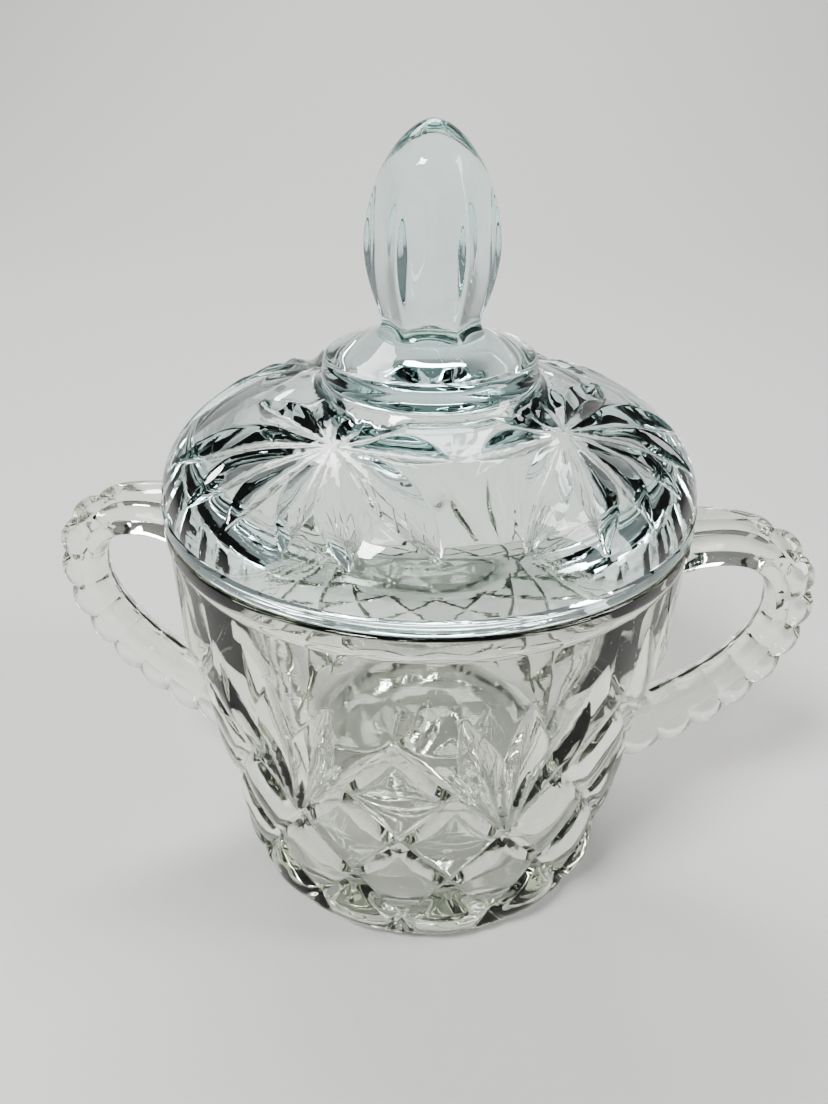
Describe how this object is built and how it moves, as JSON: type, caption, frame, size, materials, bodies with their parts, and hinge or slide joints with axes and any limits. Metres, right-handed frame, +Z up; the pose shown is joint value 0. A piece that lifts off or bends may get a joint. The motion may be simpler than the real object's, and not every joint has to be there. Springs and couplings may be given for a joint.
{
  "type": "covered candy dish",
  "caption": "Clear pressed-glass candy dish: a tapered bowl with scalloped handles, a lattice and fan pattern, and a lift-off domed lid with pressed stars and a fluted finial.",
  "frame": {"origin": "middle of the foot ring, on the surface that the dish stands on", "axes": "+Z up along the axis of bowl and lid, +X and -X through the two handles, -Y the side that faces the viewer"},
  "size_m": [0.1546, 0.1006, 0.15],
  "materials": {
    "bowl_glass": "fire-polished clear pressed glass, faint yellow-green tint",
    "lid_glass": "fire-polished clear pressed glass, faint aqua tint"
  },
  "bodies": {
    "bowl_body": {"bowl": "bowl_glass"},
    "lid_body": {"lid": "lid_glass"}
  },
  "joints": [
    {"name": "lid_lift", "type": "slide", "parent": "bowl_body", "child": "lid_body", "axis": [0, 0, 1], "range_m": [0, 0.08]}
  ]
}
